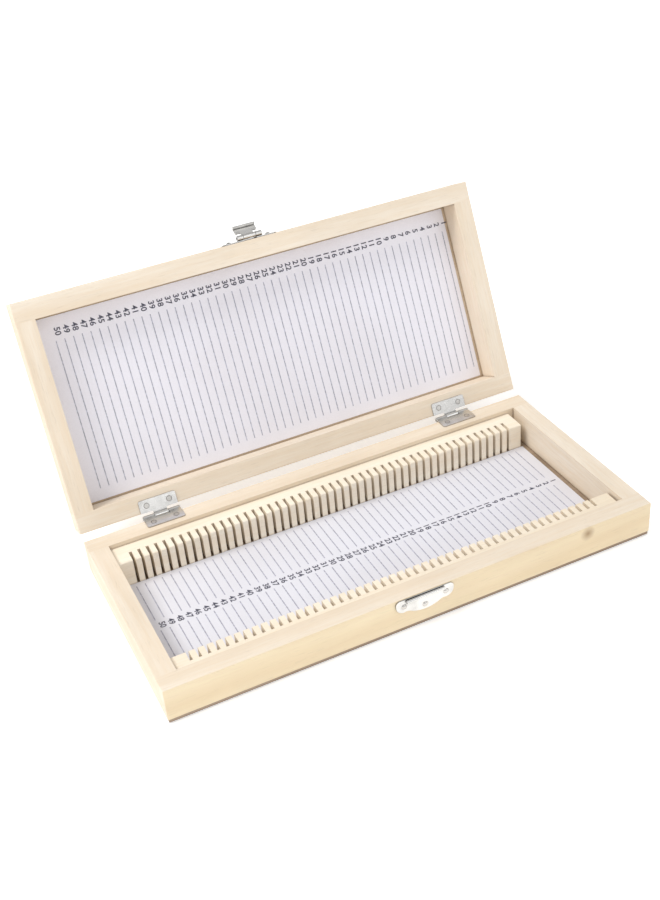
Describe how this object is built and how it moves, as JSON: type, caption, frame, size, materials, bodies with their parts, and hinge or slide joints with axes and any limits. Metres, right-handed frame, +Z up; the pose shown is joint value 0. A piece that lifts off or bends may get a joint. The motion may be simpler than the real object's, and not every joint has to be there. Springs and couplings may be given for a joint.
{
  "type": "microscope slide storage box",
  "caption": "Hinged wooden box that stores microscope slides upright in slotted rails, with numbered index sheets in base and lid and a front latch",
  "frame": {"origin": "centre of the underside of the base", "axes": "+X right along the box's length, +Y to the hinge side, +Z up"},
  "size_m": [0.23, 0.1713, 0.1193],
  "materials": {
    "pale_wood": "bare sanded",
    "panel_wood": "bare",
    "card": "matt, printed",
    "plated_steel": "nickel plated"
  },
  "bodies": {
    "base": {"back_slot_rail": "pale_wood", "base_back_wall": "pale_wood", "base_bottom_panel": "panel_wood", "base_front_wall": "pale_wood", "base_index_sheet": "card", "base_left_wall": "pale_wood", "base_right_wall": "pale_wood", "front_slot_rail": "pale_wood", "hinge_left_base_leaf": "plated_steel", "hinge_left_base_nails": "plated_steel", "hinge_left_pin": "plated_steel", "hinge_right_base_leaf": "plated_steel", "hinge_right_base_nails": "plated_steel", "hinge_right_pin": "plated_steel", "latch_catch_nails": "plated_steel", "latch_catch_plate": "plated_steel"},
    "lid": {"hinge_left_lid_leaf": "plated_steel", "hinge_left_lid_nails": "plated_steel", "hinge_right_lid_leaf": "plated_steel", "hinge_right_lid_nails": "plated_steel", "latch_lid_nails": "plated_steel", "latch_lid_plate": "plated_steel", "latch_pin": "plated_steel", "lid_back_wall": "pale_wood", "lid_front_wall": "pale_wood", "lid_index_sheet": "card", "lid_left_wall": "pale_wood", "lid_panel": "panel_wood", "lid_right_wall": "pale_wood"},
    "latch": {"latch_tongue": "plated_steel"}
  },
  "joints": [
    {"name": "lid_hinge", "type": "hinge", "parent": "base", "child": "lid", "pos_m": [0, 0.0557, 0.017], "axis": [1, 0, 0], "range_deg": [0, 114.8]},
    {"name": "latch_swing", "type": "hinge", "parent": "lid", "child": "latch", "pos_m": [0, 0.1063, 0.11601], "axis": [1, 0, 0], "range_deg": [-30, 135]}
  ]
}
